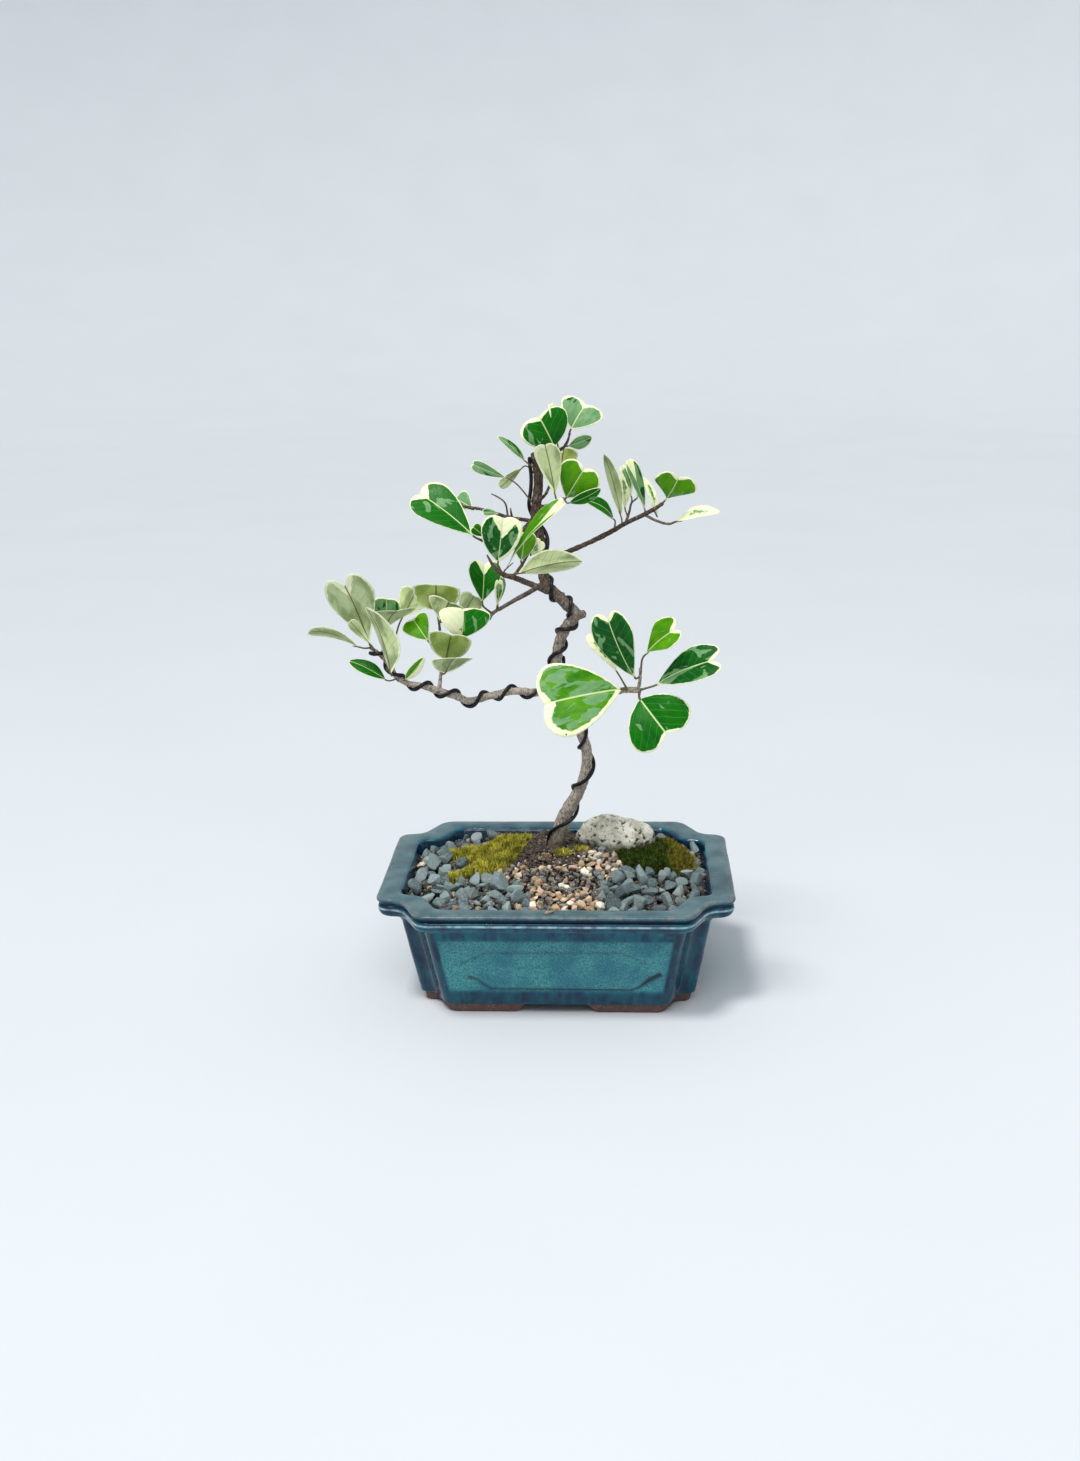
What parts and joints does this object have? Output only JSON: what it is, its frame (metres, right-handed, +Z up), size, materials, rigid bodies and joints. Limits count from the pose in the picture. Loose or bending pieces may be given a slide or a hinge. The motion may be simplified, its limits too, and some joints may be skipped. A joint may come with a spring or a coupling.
{
  "type": "variegated ficus bonsai",
  "caption": "Wired variegated ficus bonsai with cream-edged triangular leaves, growing in a teal glazed rectangular pot with notched corners, moss, gravel and a stone.",
  "frame": {"origin": "under the middle of the whole part's footprint, at the height of the pot's feet", "axes": "+X along the pot's long side, to the right as the tree is seen from its front; +Y from the front to the back; +Z up"},
  "size_m": [0.1758, 0.1114, 0.2553],
  "materials": {
    "glaze": "gloss",
    "screen_plastic": "matte",
    "potting_soil": "matte",
    "moss": "matte",
    "bark_mulch": "matte",
    "grey_gravel": "matte",
    "fine_gravel": "matte",
    "pale_stone": "matte",
    "bark": "matte",
    "black_wire": "satin",
    "leaf": "satin"
  },
  "bodies": {
    "root": {"pot": "glaze", "drain_screen_left": "screen_plastic", "drain_screen_right": "screen_plastic", "soil": "potting_soil", "moss_left": "moss", "moss_right": "moss", "bark_mulch": "bark_mulch", "coarse_gravel_left": "grey_gravel", "coarse_gravel_right": "grey_gravel", "fine_gravel": "fine_gravel", "stone": "pale_stone", "trunk_and_branches": "bark", "trunk_wire": "black_wire", "branch_wire": "black_wire", "leaf_01": "leaf", "leaf_02": "leaf", "leaf_03": "leaf", "leaf_04": "leaf", "leaf_05": "leaf", "leaf_06": "leaf", "leaf_07": "leaf", "leaf_08": "leaf", "leaf_09": "leaf", "leaf_10": "leaf", "leaf_11": "leaf", "leaf_12": "leaf", "leaf_13": "leaf", "leaf_14": "leaf", "leaf_15": "leaf", "leaf_16": "leaf", "leaf_17": "leaf", "leaf_18": "leaf", "leaf_19": "leaf", "leaf_20": "leaf", "leaf_21": "leaf", "leaf_22": "leaf", "leaf_23": "leaf", "leaf_24": "leaf", "leaf_25": "leaf", "leaf_26": "leaf", "leaf_27": "leaf", "leaf_28": "leaf", "leaf_29": "leaf", "leaf_30": "leaf", "leaf_31": "leaf", "leaf_32": "leaf", "leaf_33": "leaf", "leaf_34": "leaf", "leaf_35": "leaf", "leaf_36": "leaf", "leaf_37": "leaf", "leaf_38": "leaf", "leaf_39": "leaf", "leaf_40": "leaf", "leaf_41": "leaf", "leaf_42": "leaf", "leaf_43": "leaf", "leaf_44": "leaf", "leaf_45": "leaf", "leaf_46": "leaf"}
  },
  "joints": []
}
